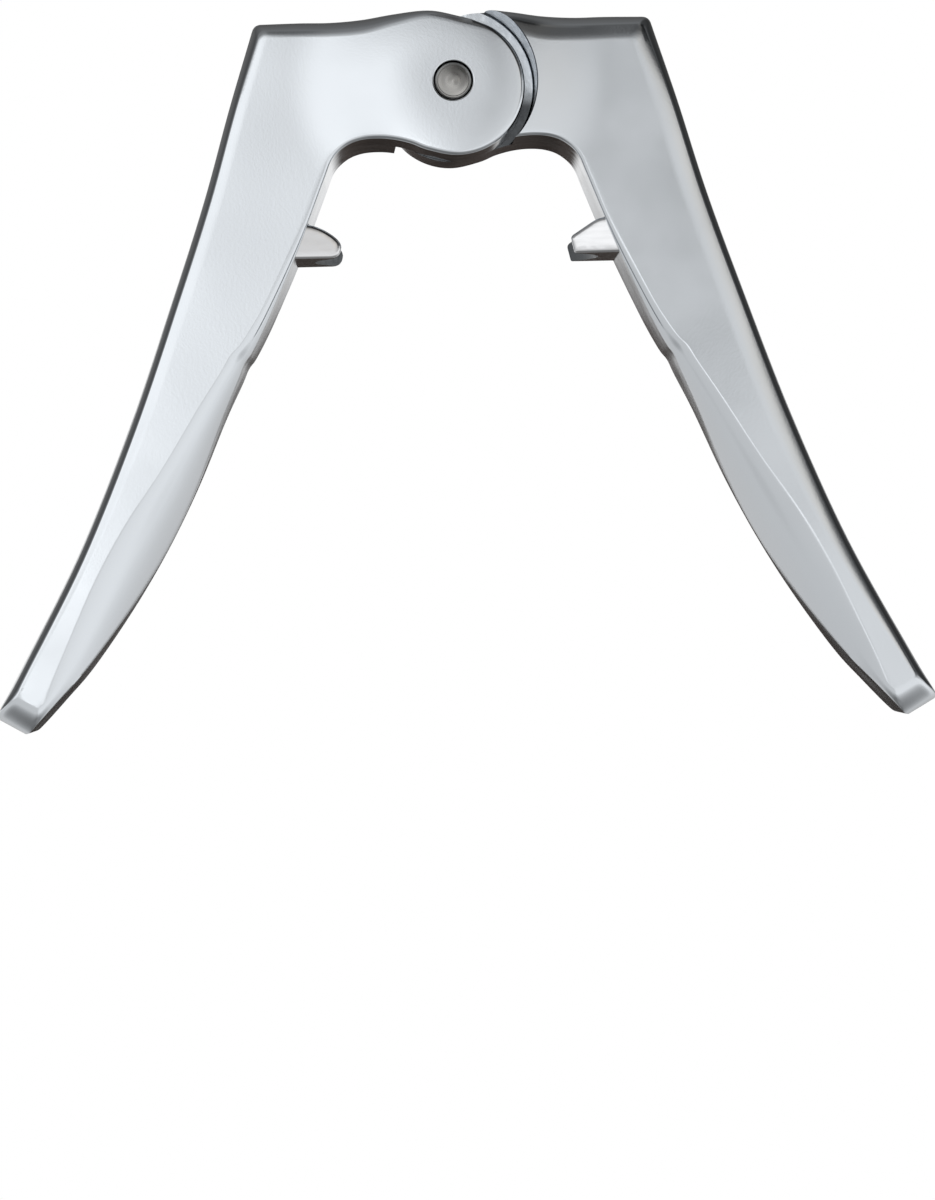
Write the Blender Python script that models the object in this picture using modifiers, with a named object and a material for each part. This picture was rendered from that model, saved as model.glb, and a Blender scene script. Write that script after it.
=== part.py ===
"""Champagne opener: two cast levers on one hinge pin, with a gripping claw in each lever.

The opener stands as it does on a bottle: +Z is up, the hinge pin runs along Y, and the levers hang open to
both sides along X. The front, with the plain end of the pin, faces -Y. The origin is the point of the cork's
top that the hinge sits on. The left lever is the same casting as the right one, turned half a turn about Z:
each has a lug of half its depth and, in the other half, a hollow shoulder that clears the other one's lug.
"""

import math

import bmesh
import bpy
from mathutils import Vector

MM = 0.001

# Levers, measured from the hinge axis with the handles open
LEVER_REACH = 60.75 * MM
LEVER_DROP = 82.75 * MM
LEVER_DEPTH = 24.4 * MM
HEAD_REACH = 25.6 * MM
HEAD_RISE = 8.45 * MM
HEAD_CORNER = 0.9 * MM
TIP_OUTER_CORNER = 1.0 * MM
TIP_INNER_CORNER = 0.9 * MM

# Hinge lug, which sits a little off the axis, and the shoulder that it turns in
LUG_RADIUS = 8.8 * MM
LUG_SHIFT = 0.35 * MM
LUG_DROP = 0.75 * MM
LUG_START_DEG = 104.0
LUG_END_DEG = 272.0
LUG_STEPS = 8
SHOULDER_CLEARANCE = 1.14 * MM
SHOULDER_DRAFT = 0.15 * MM
LAP_CLEARANCE = 0.4 * MM

# Rounded edges of the casting, across the face. The top, the outer side and the grip are crowned from each
# face to a narrow belt at the parting line, the tip's roundings go their own depth down the side, and the
# fine edges at the lug and the arch go as far down as across.
EDGE_ROUND = 0.5 * MM
TOP_ROUND = 2.25 * MM
OUTER_ROUND = 1.42 * MM
GRIP_ROUND = 4.2 * MM
TIP_ROUND = 4.0 * MM
TIP_SIDE_ROUND = 5.5 * MM
PARTING_BELT = 0.6 * MM
GRIP_BELT = 1.6 * MM

# Hinge pin, bush and washers
PIN_RADIUS = 2.25 * MM
PIN_HEAD_RADIUS = 4.4 * MM
PIN_HEAD_THICKNESS = 1.6 * MM
PIN_CHAMFER = 0.22 * MM
PIN_INSET = 0.25 * MM
BORE_CHAMFER = 0.2 * MM
BUSH_WALL = 1.2 * MM
WASHER_RADIUS = 6.1 * MM
WASHER_THICKNESS = 0.5 * MM
WAVE_THICKNESS = 0.3 * MM
WAVE_HEIGHT = 0.35 * MM
WAVES = 3

# Claws
CLAW_WIDTH = 21.0 * MM
CLAW_DROP = 22.3 * MM
CLAW_HEIGHT = 4.5 * MM
CLAW_PROJECTION = 5.35 * MM
CLAW_TIP_HEIGHT = 2.1 * MM
CLAW_SLOPE = 3.7 * MM
CLAW_UNDERCUT = 0.5 * MM
CLAW_TENON = 5.0 * MM
CLAW_BITE_RADIUS = 14.0 * MM
CLAW_PRONG = 1.4 * MM
CLAW_EDGE = 0.35 * MM
LEFT_NOSE_ROUND = 1.3 * MM
RIGHT_NOSE_ROUND = 0.45 * MM
BITE_LEAN_DEG = 10.0

# Fits and cuts
SEAT_GAP = 0.28 * MM
OVERRUN = 2.0 * MM
MERGE = 0.001 * MM

# Smoothness
PATH_STEPS = 3
CORNER_STEPS = 3
ROUND_STEPS = 4
TURN_STEPS = 48
SHOULDER_STEPS = 72
SHARP_DEG = 38.0

# Top edge and cork arch of the head: shares of HEAD_REACH and HEAD_RISE. On the top edge also how far the
# crown's rounding has grown, across the face and down the side.
TOP_SHARES = (
    (0.770, 1.013, 1.00, 1.00),
    (0.610, 1.010, 1.00, 1.00),
    (0.455, 1.043, 1.00, 1.00),
    (0.300, 1.111, 0.95, 1.00),
    (0.140, 1.150, 0.85, 1.00),
    (0.034, 1.094, 0.42, 0.75),
)
ARCH_SHARES = (
    (0.134, -1.044),
    (0.217, -0.944),
    (0.301, -0.879),
    (0.387, -0.854),
    (0.473, -0.876),
    (0.547, -0.964),
    (0.613, -1.153),
    (0.656, -1.457),
)

# Inner side of the handle: shares of LEVER_REACH and LEVER_DROP, and how far the soft grip rounding has grown
GRIP_SHARES = (
    (0.311, 0.213, 0.00),
    (0.346, 0.275, 0.03),
    (0.393, 0.351, 0.25),
    (0.417, 0.387, 0.38),
    (0.438, 0.415, 0.48),
    (0.453, 0.430, 0.55),
    (0.467, 0.454, 0.62),
    (0.504, 0.513, 0.80),
    (0.563, 0.617, 1.00),
    (0.630, 0.714, 1.00),
    (0.708, 0.805, 0.90),
    (0.800, 0.896, 0.65),
)
TIP_INNER_SHARES = (0.931, 1.000)
TIP_OUTER_SHARES = (1.000, 0.972)

# How much of a side a rounded corner at its end may take up
CORNER_LIMIT_SHARE = 0.45

# Outer side, tip to head: shares of the way from the head's corner to the tip, across and down
OUTER_SHARES = (
    (0.913, 0.910),
    (0.690, 0.748),
    (0.492, 0.569),
    (0.323, 0.390),
    (0.200, 0.252),
    (0.100, 0.122),
)

# Places that follow from the sizes
PIVOT_HEIGHT = LUG_DROP + LUG_RADIUS
HALF_DEPTH = LEVER_DEPTH / 2
HALF_LAP = LAP_CLEARANCE / 2
CROWN_DEPTH = HALF_DEPTH - PARTING_BELT / 2
GRIP_DEPTH = HALF_DEPTH - GRIP_BELT / 2
SHOULDER_RADIUS = LUG_RADIUS + math.hypot(LUG_SHIFT, LUG_DROP) + SHOULDER_CLEARANCE
WAVE_REACH = WAVE_THICKNESS / 2 + WAVE_HEIGHT
WASHER_INNER = WAVE_REACH + SEAT_GAP
WASHER_OUTER = WASHER_INNER + WASHER_THICKNESS
WASHER_SEAT = WASHER_OUTER + SEAT_GAP
BUSH_BORE = PIN_RADIUS + SEAT_GAP
BUSH_RADIUS = BUSH_BORE + BUSH_WALL
PIN_HEAD_TOP = HALF_DEPTH - PIN_INSET
PIN_HEAD_BASE = PIN_HEAD_TOP - PIN_HEAD_THICKNESS
PIN_HEAD_SEAT = PIN_HEAD_BASE - SEAT_GAP


def start_scene():
    """Empty the scene and return the collections for the parts and for their cutters."""
    for thing in list(bpy.data.objects):
        bpy.data.objects.remove(thing, do_unlink=True)
    parts = bpy.data.collections.new("champagne_opener")
    cutters = bpy.data.collections.new("cutters")
    bpy.context.scene.collection.children.link(parts)
    bpy.context.scene.collection.children.link(cutters)
    return parts, cutters


def make_material(name, colour, metallic, roughness):
    """A plain Principled material."""
    material = bpy.data.materials.new(name)
    material.use_nodes = True
    shader = material.node_tree.nodes["Principled BSDF"]
    shader.inputs["Base Color"].default_value = (*colour, 1.0)
    shader.inputs["Metallic"].default_value = metallic
    shader.inputs["Roughness"].default_value = roughness
    return material


def add_side(name, turn_deg, collection):
    """An empty on the hinge axis that carries one side's pieces, turned about Z."""
    side = bpy.data.objects.new(name, None)
    side.empty_display_size = LUG_RADIUS
    side.location = (0, 0, PIVOT_HEIGHT)
    side.rotation_euler = (0, 0, math.radians(turn_deg))
    collection.objects.link(side)
    return side


def add_object(name, mesh, collection, side, material=None):
    """An object carried by one side, with its origin on the hinge axis."""
    thing = bpy.data.objects.new(name, mesh)
    thing.parent = side
    collection.objects.link(thing)
    if material:
        mesh.materials.append(material)
    return thing


def take_cutter(cutter, name, side, collection):
    """Name a new primitive, hand it to its side and keep it out of sight."""
    cutter.name = name
    cutter.parent = side
    for other in list(cutter.users_collection):
        other.objects.unlink(cutter)
    collection.objects.link(cutter)
    return hide_cutter(cutter)


def hide_cutter(thing):
    thing.hide_render = True
    thing.display_type = "WIRE"
    return thing


def cut(thing, cutter):
    """Take a cutter's shape out of an object."""
    boolean = thing.modifiers.new(cutter.name, "BOOLEAN")
    boolean.operation = "DIFFERENCE"
    boolean.solver = "EXACT"
    boolean.object = cutter


def shade(mesh):
    mesh.shade_smooth()
    mesh.set_sharp_from_angle(angle=math.radians(SHARP_DEG))


def spline_between(before, start, end, after, steps):
    """Points of a Catmull-Rom span, without its last point."""
    points = []
    for step in range(steps):
        t = step / steps
        points.append(
            start
            + (end - before) * (t / 2)
            + (before * 2 - start * 5 + end * 4 - after) * (t * t / 2)
            + (start * 3 - before - end * 3 + after) * (t * t * t / 2)
        )
    return points


def smooth_chain(points, steps):
    """A smooth open path through the points, without its last point."""
    padded = [points[0] * 2 - points[1], *points, points[-1] * 2 - points[-2]]
    path = []
    for index in range(len(points) - 1):
        path += spline_between(*padded[index : index + 4], steps)
    return path


def corner_arc(before, corner, after, radius, steps):
    """A rounded corner that starts and ends one radius away from the corner point, where its sides allow."""
    shorter_side = min((before - corner).length, (after - corner).length)
    reach = min(radius, CORNER_LIMIT_SHARE * shorter_side)
    start = corner + (before - corner).normalized() * reach
    end = corner + (after - corner).normalized() * reach
    arc = []
    for step in range(steps + 1):
        t = step / steps
        arc.append(start * (1 - t) ** 2 + corner * (2 * t * (1 - t)) + end * t * t)
    return arc


def head_place(across_share, up_share):
    return Vector((HEAD_REACH * across_share, 0, HEAD_RISE * up_share))


def handle_place(across_share, down_share):
    return Vector((LEVER_REACH * across_share, 0, -LEVER_DROP * down_share))


def lever_stations():
    """The lever's outline, anticlockwise from the head's outer corner.

    Each station has its place, the rounding of the edge that follows it, the rounding's depth down the side
    at the station, and a corner radius, which is zero where the outline runs on smoothly.
    """
    stations = [(head_place(1, 1), TOP_ROUND, CROWN_DEPTH, HEAD_CORNER)]
    for across, up, edge_share, side_share in TOP_SHARES:
        edge = EDGE_ROUND + (TOP_ROUND - EDGE_ROUND) * edge_share
        side = EDGE_ROUND + (CROWN_DEPTH - EDGE_ROUND) * side_share
        stations.append((head_place(across, up), edge, side, 0))
    for step in range(LUG_STEPS + 1):
        turn = math.radians(LUG_START_DEG + (LUG_END_DEG - LUG_START_DEG) * step / LUG_STEPS)
        across = LUG_RADIUS * math.cos(turn) - LUG_SHIFT
        up = LUG_RADIUS * math.sin(turn) - LUG_DROP
        stations.append((Vector((across, 0, up)), EDGE_ROUND, EDGE_ROUND, 0))
    for across, up in ARCH_SHARES:
        stations.append((head_place(across, up), EDGE_ROUND, EDGE_ROUND, 0))
    for across, down, share in GRIP_SHARES:
        edge = EDGE_ROUND + (GRIP_ROUND - EDGE_ROUND) * share
        side = EDGE_ROUND + (GRIP_DEPTH - EDGE_ROUND) * share
        stations.append((handle_place(across, down), edge, side, 0))
    stations.append((handle_place(*TIP_INNER_SHARES), TIP_ROUND, TIP_SIDE_ROUND, TIP_INNER_CORNER))
    stations.append((handle_place(*TIP_OUTER_SHARES), OUTER_ROUND, TIP_SIDE_ROUND, TIP_OUTER_CORNER))
    for across, down in OUTER_SHARES:
        out = HEAD_REACH + (LEVER_REACH - HEAD_REACH) * across
        up = HEAD_RISE - (HEAD_RISE + LEVER_DROP) * down
        stations.append((Vector((out, 0, up)), OUTER_ROUND, CROWN_DEPTH, 0))
    return stations


def inset_vectors(stations):
    """How far each station moves inward for its face outline, so that each edge moves by its own rounding."""
    normals = []
    for index, station in enumerate(stations):
        along = stations[(index + 1) % len(stations)][0] - station[0]
        normals.append(Vector((-along.z, 0, along.x)).normalized())
    vectors = []
    for index, station in enumerate(stations):
        before, after = normals[index - 1], normals[index]
        pull = before * stations[index - 1][1] + after * station[1]
        vectors.append(pull / (1 + before.dot(after)))
    return vectors


def lever_ring(stations, insets, turn, side):
    """One loop around the lever: turn 0 bounds the flat face, a quarter turn is the full outline.

    The smooth path between the stations stays within their own depths.
    """
    points = []
    for station, inset in zip(stations, insets):
        point = station[0] + inset * (1 - math.sin(turn))
        point.y = side * (HALF_DEPTH - station[2] * (1 - math.cos(turn)))
        points.append(point)
    count = len(points)
    corners = [index for index in range(count) if stations[index][3] > 0]
    ring = []
    arcs = {}
    for index in corners:
        after = points[(index + 1) % count]
        arcs[index] = corner_arc(points[index - 1], points[index], after, stations[index][3], CORNER_STEPS)
    for place, index in enumerate(corners):
        following = corners[(place + 1) % len(corners)]
        last = following if following > index else following + count
        between = [points[step % count] for step in range(index + 1, last)]
        chain = [arcs[index][-1], *between, arcs[following][0]]
        ring += arcs[index][:-1] + smooth_chain(chain, PATH_STEPS)
    nearest = min(point.y for point in points)
    farthest = max(point.y for point in points)
    for point in ring:
        point.y = min(max(point.y, nearest), farthest)
    return ring


def lever_mesh(name):
    """The solid casting: a loft from the front face's outline over the full outline to the back face's."""
    stations = lever_stations()
    insets = inset_vectors(stations)
    turns = [math.radians(90) * step / ROUND_STEPS for step in range(ROUND_STEPS + 1)]
    rings = [lever_ring(stations, insets, turn, -1) for turn in turns]
    rings += [lever_ring(stations, insets, turn, 1) for turn in reversed(turns)]
    shape = bmesh.new()
    loops = [[shape.verts.new(point) for point in ring] for ring in rings]
    for near, far in zip(loops, loops[1:]):
        for index in range(len(near)):
            shape.faces.new((near[index - 1], far[index - 1], far[index], near[index]))
    shape.faces.new(loops[0])
    shape.faces.new(reversed(loops[-1]))
    bmesh.ops.recalc_face_normals(shape, faces=shape.faces)
    mesh = bpy.data.meshes.new(name)
    shape.to_mesh(mesh)
    shape.free()
    shade(mesh)
    return mesh


def turned_object(name, profile, collection, side, material=None, closed=False, steps=TURN_STEPS):
    """A profile of (radius, height along the hinge axis) points, turned about the hinge axis."""
    mesh = bpy.data.meshes.new(name)
    points = [(radius, 0, height) for radius, height in profile]
    edges = [(index, index + 1) for index in range(len(points) - 1)]
    if closed:
        edges.append((len(points) - 1, 0))
    mesh.from_pydata(points, edges, [])
    thing = add_object(name, mesh, collection, side, material)
    thing.rotation_euler = (math.radians(-90), 0, 0)
    screw = thing.modifiers.new("turn", "SCREW")
    screw.steps = steps
    screw.render_steps = steps
    screw.use_merge_vertices = True
    screw.merge_threshold = MERGE
    return thing


def shoulder_cutter(side, collection):
    """Clears the other lever's lug: a drafted pocket from the front face to the lap face."""
    front = HALF_DEPTH + OVERRUN
    profile = (
        (0, HALF_LAP),
        (SHOULDER_RADIUS - SHOULDER_DRAFT, HALF_LAP),
        (SHOULDER_RADIUS, -HALF_DEPTH),
        (SHOULDER_RADIUS, -front),
        (0, -front),
    )
    name = side.name + "_shoulder_cut"
    return hide_cutter(turned_object(name, profile, collection, side, steps=SHOULDER_STEPS))


def left_bore_cutter(side, collection):
    """The left lug's bore: washer seat on the lap face, and a plain hole for the pin to the outer face."""
    hole = PIN_RADIUS + SEAT_GAP
    seat = WASHER_RADIUS + SEAT_GAP
    profile = (
        (0, HALF_DEPTH + OVERRUN),
        (hole + BORE_CHAMFER + OVERRUN, HALF_DEPTH + OVERRUN),
        (hole, HALF_DEPTH - BORE_CHAMFER),
        (hole, WASHER_SEAT),
        (seat, WASHER_SEAT),
        (seat, -OVERRUN),
        (0, -OVERRUN),
    )
    return hide_cutter(turned_object("left_bore_cut", profile, collection, side))


def right_bore_cutter(side, collection):
    """The right lug's bore: washer seat, hole for the bush, and a seat for the pin's head."""
    hole = BUSH_RADIUS + SEAT_GAP
    seat = WASHER_RADIUS + SEAT_GAP
    head = PIN_HEAD_RADIUS + SEAT_GAP
    profile = (
        (0, HALF_DEPTH + OVERRUN),
        (head, HALF_DEPTH + OVERRUN),
        (head, PIN_HEAD_SEAT),
        (hole, PIN_HEAD_SEAT),
        (hole, WASHER_SEAT),
        (seat, WASHER_SEAT),
        (seat, -OVERRUN),
        (0, -OVERRUN),
    )
    return hide_cutter(turned_object("right_bore_cut", profile, collection, side))


def wall_reach(drop):
    """How far out the lever's inner wall lies at a given drop below the hinge axis."""
    ends = [(HEAD_REACH * ARCH_SHARES[-1][0], -HEAD_RISE * ARCH_SHARES[-1][1])]
    ends += [(LEVER_REACH * across, LEVER_DROP * down) for across, down, share in GRIP_SHARES]
    for near, far in zip(ends, ends[1:]):
        if drop <= far[1]:
            break
    return near[0] + (far[0] - near[0]) * (drop - near[1]) / (far[1] - near[1])


def claw_places():
    """The claw's tip, the end of its tenon, its top and its underside."""
    top = CLAW_HEIGHT - CLAW_DROP
    wall = wall_reach(CLAW_DROP - CLAW_HEIGHT / 2)
    return wall - CLAW_PROJECTION, wall + CLAW_TENON, top, -CLAW_DROP


def slot_cutter(side, collection):
    """The slot in the lever's inner wall that the claw's tenon is pressed into."""
    tip, root, top, base = claw_places()
    bpy.ops.mesh.primitive_cube_add(size=1)
    cutter = bpy.context.object
    width = root + SEAT_GAP - tip
    cutter.scale = (width, CLAW_WIDTH + 2 * SEAT_GAP, top - base + 2 * SEAT_GAP)
    cutter.location = (tip + width / 2, 0, (top + base) / 2)
    return take_cutter(cutter, side.name + "_slot_cut", side, collection)


def outline_mesh(name, points, half_width):
    """A flat outline in the XZ plane, given its thickness along Y."""
    curve = bpy.data.curves.new(name, "CURVE")
    curve.dimensions = "2D"
    curve.fill_mode = "BOTH"
    curve.extrude = half_width
    spline = curve.splines.new("POLY")
    spline.points.add(len(points) - 1)
    for place, point in zip(spline.points, points):
        place.co = (point.x, point.z, 0, 1)
    spline.use_cyclic_u = True
    holder = bpy.data.objects.new(name + "_outline", curve)
    bpy.context.scene.collection.objects.link(holder)
    holder.rotation_euler = (math.radians(90), 0, 0)
    bpy.context.view_layer.update()
    solid = holder.evaluated_get(bpy.context.evaluated_depsgraph_get())
    mesh = bpy.data.meshes.new_from_object(solid)
    mesh.transform(holder.matrix_world)
    bpy.data.objects.remove(holder, do_unlink=True)
    shape = bmesh.new()
    shape.from_mesh(mesh)
    bmesh.ops.remove_doubles(shape, verts=shape.verts, dist=MERGE)
    bmesh.ops.recalc_face_normals(shape, faces=shape.faces)
    shape.to_mesh(mesh)
    shape.free()
    return mesh


def add_claw(name, nose_round, side, parts, cutters, material):
    """A wedge with a flat underside, its nose hollowed to two prongs that close round the cork's neck."""
    tip, root, top, base = claw_places()
    shoulder = Vector((tip + CLAW_SLOPE, 0, top))
    nose_top = Vector((tip, 0, base + CLAW_TIP_HEIGHT))
    nose_base = Vector((tip + CLAW_UNDERCUT, 0, base))
    root_base = Vector((root, 0, base))
    outline = [Vector((root, 0, top)), shoulder]
    outline += corner_arc(shoulder, nose_top, nose_base, nose_round, CORNER_STEPS)
    outline += corner_arc(nose_top, nose_base, root_base, nose_round, CORNER_STEPS)
    outline.append(root_base)
    claw = add_object(name, outline_mesh(name, outline, CLAW_WIDTH / 2), parts, side, material)
    edge = claw.modifiers.new("edge", "BEVEL")
    edge.width = CLAW_EDGE
    edge.segments = 1
    edge.limit_method = "ANGLE"
    edge.angle_limit = math.radians(SHARP_DEG)
    cut(claw, bite_cutter(tip, base, side, cutters))
    return claw


def bite_cutter(tip, base, side, collection):
    """A round bar that hollows the claw's nose, leaning so that it stands upright when the claw grips."""
    depth = 2 * (CLAW_HEIGHT + OVERRUN)
    bpy.ops.mesh.primitive_cylinder_add(vertices=SHOULDER_STEPS, radius=CLAW_BITE_RADIUS, depth=depth)
    cutter = bpy.context.object
    reach = math.sqrt(CLAW_BITE_RADIUS**2 - (CLAW_WIDTH / 2 - CLAW_PRONG) ** 2)
    cutter.rotation_euler = (0, math.radians(-BITE_LEAN_DEG), 0)
    cutter.location = (tip - reach, 0, base + CLAW_TIP_HEIGHT / 2)
    return take_cutter(cutter, side.name + "_bite_cut", side, collection)


def ring_profile(inner, outer, low, high):
    """A square-edged ring's section, down its outer side first."""
    return ((outer, high), (outer, low), (inner, low), (inner, high))


def add_wave_washer(side, parts, material):
    """A spring washer: a thin ring bent into equal waves about the lap's middle plane."""
    profile = ring_profile(BUSH_BORE, WASHER_RADIUS, -WAVE_THICKNESS / 2, WAVE_THICKNESS / 2)
    blank = turned_object("wave_washer_blank", profile, parts, side, material, closed=True)
    bpy.context.view_layer.update()
    solid = blank.evaluated_get(bpy.context.evaluated_depsgraph_get())
    mesh = bpy.data.meshes.new_from_object(solid)
    for point in mesh.vertices:
        point.co.z += WAVE_HEIGHT * math.cos(WAVES * math.atan2(point.co.y, point.co.x))
    bpy.data.objects.remove(blank, do_unlink=True)
    washer = add_object("wave_washer", mesh, parts, side)
    washer.rotation_euler = (math.radians(-90), 0, 0)
    return washer


def add_hinge_pin(side, parts, material):
    """A headed pin: its head sits in the right lug's back, its plain end shows in the left lug's front."""
    front = PIN_INSET - HALF_DEPTH
    profile = (
        (0, PIN_HEAD_TOP),
        (PIN_HEAD_RADIUS - PIN_CHAMFER, PIN_HEAD_TOP),
        (PIN_HEAD_RADIUS, PIN_HEAD_TOP - PIN_CHAMFER),
        (PIN_HEAD_RADIUS, PIN_HEAD_BASE),
        (PIN_RADIUS, PIN_HEAD_BASE),
        (PIN_RADIUS, front + PIN_CHAMFER),
        (PIN_RADIUS - PIN_CHAMFER, front),
        (0, front),
    )
    return turned_object("hinge_pin", profile, parts, side, material)


def add_lever(name, bore, side, parts, cutters, material):
    """One casting with its lug cut to half the depth, bored, and slotted for the claw."""
    lever = add_object(name, lever_mesh(name), parts, side, material)
    cut(lever, shoulder_cutter(side, cutters))
    cut(lever, bore)
    cut(lever, slot_cutter(side, cutters))
    return lever


def main():
    parts, cutters = start_scene()
    satin_chrome = make_material("satin_chrome", (0.74, 0.76, 0.78), 1.0, 0.32)
    bright_chrome = make_material("bright_chrome", (0.80, 0.81, 0.82), 1.0, 0.10)
    steel = make_material("turned_steel", (0.56, 0.55, 0.54), 1.0, 0.28)
    bronze = make_material("bearing_bronze", (0.55, 0.36, 0.18), 1.0, 0.40)
    nylon = make_material("white_nylon", (0.82, 0.81, 0.76), 0.0, 0.50)

    left = add_side("left_side", 180, parts)
    add_lever("left_lever", left_bore_cutter(left, cutters), left, parts, cutters, satin_chrome)
    add_claw("left_claw", LEFT_NOSE_ROUND, left, parts, cutters, bright_chrome)

    right = add_side("right_side", 0, parts)
    add_lever("right_lever", right_bore_cutter(right, cutters), right, parts, cutters, satin_chrome)
    add_claw("right_claw", RIGHT_NOSE_ROUND, right, parts, cutters, bright_chrome)
    bush = ring_profile(BUSH_BORE, BUSH_RADIUS, WASHER_SEAT + SEAT_GAP, PIN_HEAD_SEAT)
    turned_object("hinge_bush", bush, parts, right, bronze, closed=True)

    hinge = add_side("hinge", 0, parts)
    add_hinge_pin(hinge, parts, steel)
    front = ring_profile(BUSH_BORE, WASHER_RADIUS, -WASHER_OUTER, -WASHER_INNER)
    turned_object("front_thrust_washer", front, parts, hinge, nylon, closed=True)
    add_wave_washer(hinge, parts, steel)
    rear = ring_profile(BUSH_BORE, WASHER_RADIUS, WASHER_INNER, WASHER_OUTER)
    turned_object("rear_thrust_washer", rear, parts, hinge, nylon, closed=True)


if __name__ == "__main__":
    main()
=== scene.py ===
import math

import bmesh
import bpy
from bpy.props import FloatProperty, FloatVectorProperty, PointerProperty
from bpy.types import Operator, Panel, PropertyGroup
from mathutils import Matrix, Vector


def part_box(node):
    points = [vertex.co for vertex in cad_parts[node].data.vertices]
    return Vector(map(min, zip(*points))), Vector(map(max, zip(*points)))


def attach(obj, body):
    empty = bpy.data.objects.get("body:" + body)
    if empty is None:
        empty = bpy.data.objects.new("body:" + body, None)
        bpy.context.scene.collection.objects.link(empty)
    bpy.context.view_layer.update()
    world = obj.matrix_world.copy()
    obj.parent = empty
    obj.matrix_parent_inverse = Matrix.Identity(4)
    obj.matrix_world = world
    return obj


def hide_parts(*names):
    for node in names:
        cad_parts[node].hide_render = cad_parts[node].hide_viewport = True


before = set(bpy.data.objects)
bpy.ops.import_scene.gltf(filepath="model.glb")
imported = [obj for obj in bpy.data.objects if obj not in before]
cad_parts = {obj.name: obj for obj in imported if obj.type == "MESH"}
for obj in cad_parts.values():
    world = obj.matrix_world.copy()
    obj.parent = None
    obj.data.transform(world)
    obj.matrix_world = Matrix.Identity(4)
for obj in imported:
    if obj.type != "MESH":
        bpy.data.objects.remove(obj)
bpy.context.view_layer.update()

bl_info = {
    "name": "Champagne opener",
    "version": (1, 0, 0),
    "blender": (4, 5, 0),
    "location": "3D View > Sidebar > Opener",
    "description": "Detailed levers, claws and hinge pin around the opener's packed frame",
    "category": "Add Mesh",
}

MM = 0.001

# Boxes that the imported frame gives, and places from the hinge axis that follow from them
CLAW_LOW, CLAW_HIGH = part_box("right_claw")
PIN_LOW, PIN_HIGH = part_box("hinge_pin")
HALF_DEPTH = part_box("right_lever")[1].y
HINGE_HEIGHT = (PIN_LOW.z + PIN_HIGH.z) / 2
CLAW_NOSE, CLAW_ROOT = CLAW_LOW.x, CLAW_HIGH.x
CLAW_TOP, CLAW_BASE = CLAW_HIGH.z - HINGE_HEIGHT, CLAW_LOW.z - HINGE_HEIGHT

# Outline of a lever from the hinge axis, as shares of its head (out, up) and of its handle (out, down). The
# third number is how far the edge there has grown from the fine edge to the top's or the grip's. The top's
# fourth number is the same for the edge's depth.
TOP_SHARES = (
    (0.770, 1.013, 1.00, 1.00),
    (0.610, 1.010, 1.00, 1.00),
    (0.455, 1.043, 1.00, 1.00),
    (0.300, 1.111, 0.60, 1.00),
    (0.140, 1.150, 0.42, 1.00),
    (0.034, 1.094, 0.36, 0.75),
)
ARCH_SHARES = (
    (0.134, -1.044),
    (0.217, -0.944),
    (0.301, -0.879),
    (0.387, -0.854),
    (0.473, -0.876),
    (0.547, -0.964),
    (0.613, -1.153),
    (0.656, -1.457),
)
GRIP_SHARES = (
    (0.311, 0.213, 0.00),
    (0.346, 0.275, 0.02),
    (0.393, 0.351, 0.08),
    (0.417, 0.387, 0.12),
    (0.438, 0.415, 0.17),
    (0.453, 0.430, 0.21),
    (0.467, 0.454, 0.28),
    (0.504, 0.513, 0.50),
    (0.563, 0.617, 0.82),
    (0.630, 0.714, 0.92),
    (0.708, 0.805, 0.68),
    (0.800, 0.896, 0.25),
    (0.863, 0.947, 0.08),
)
TIP_INNER_SHARES = (0.931, 1.000)
TIP_OUTER_SHARES = (1.000, 0.972)

# Outer side, tip to head: shares of the way across and down, and how much of the softened strip is there
OUTER_SHARES = (
    (0.913, 0.910, 0.25),
    (0.690, 0.748, 0.80),
    (0.492, 0.569, 1.00),
    (0.323, 0.390, 1.00),
    (0.200, 0.252, 1.00),
    (0.100, 0.122, 0.90),
)

# How the levers' edges are softened
FINE_STRIP, FINE_FALL = 0.5 * MM, 0.004 * MM
PLAIN_STRIP, PLAIN_FALL = 0.3 * MM, 0.01 * MM
TIP_STRIP, TIP_FALL = 0.4 * MM, 0.01 * MM
TIP_OUTER_SHARE = 0.8
SOFT_BELOW, SOFT_BELOW_OVER = 17.6 * MM, 8 * MM
SOFT_ABOVE_TIP, SOFT_ABOVE_TIP_OVER = 4 * MM, 4 * MM

# Where a lever's wall counts as the arch's
ARCH_DROP_SHARE, ARCH_REACH_SHARE = 1.5, 0.66
WALL_FACING = 0.2

# How the shoulders and bores are cut
CUT_OVERRUN = 2 * MM
FLARE_START = math.radians(45)
FLARE_DEPTH_SHARE = 0.7
HOLE_KNEE_OUT_SHARE, HOLE_KNEE_DEPTH_SHARE = 0.3, 0.4
HEAD_SEAT_FIT = 0.12 * MM

# Small forms of the claws and the pin
CLAW_ROOT_CORNER = 0.15 * MM
CLAW_SLOPE_CORNER_MORE = 0.6 * MM
CLAW_LOWER_CORNER_SHARE = 0.6
CLAW_SOFTENING = 0.18 * MM
CLAW_SOFTENING_ANGLE = math.radians(50)
BITE_BAR_HALF = 12 * MM
PIN_CENTRE = 0.3 * MM
PIN_HEAD_CHAMFER = 0.22 * MM
PIN_HEAD_UNDERCHAMFER = 0.1 * MM
PIN_HEAD_GROOVES = 12

# Forms and marks that only the materials show
DOME_TOP, DOME_FOOT, DOME_RISE = 3 * MM, 22 * MM, 0.53 * MM
# Painted shade on the rough chrome below the hinge axis: how far it fades in, and how dark it gets
PAINTED_SHADE_FADE = 2.5 * MM
PAINTED_SHADE_SHARE = 0.15
TOOL_MARK_SCALE = 1 / (2.8 * MM)
PORE_SPACING = 0.25 * MM
HAIRLINE_STRETCH = (0.06, 1.0, 1.0)
NOISE_LOW, NOISE_HIGH = 0.3, 0.7

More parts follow.
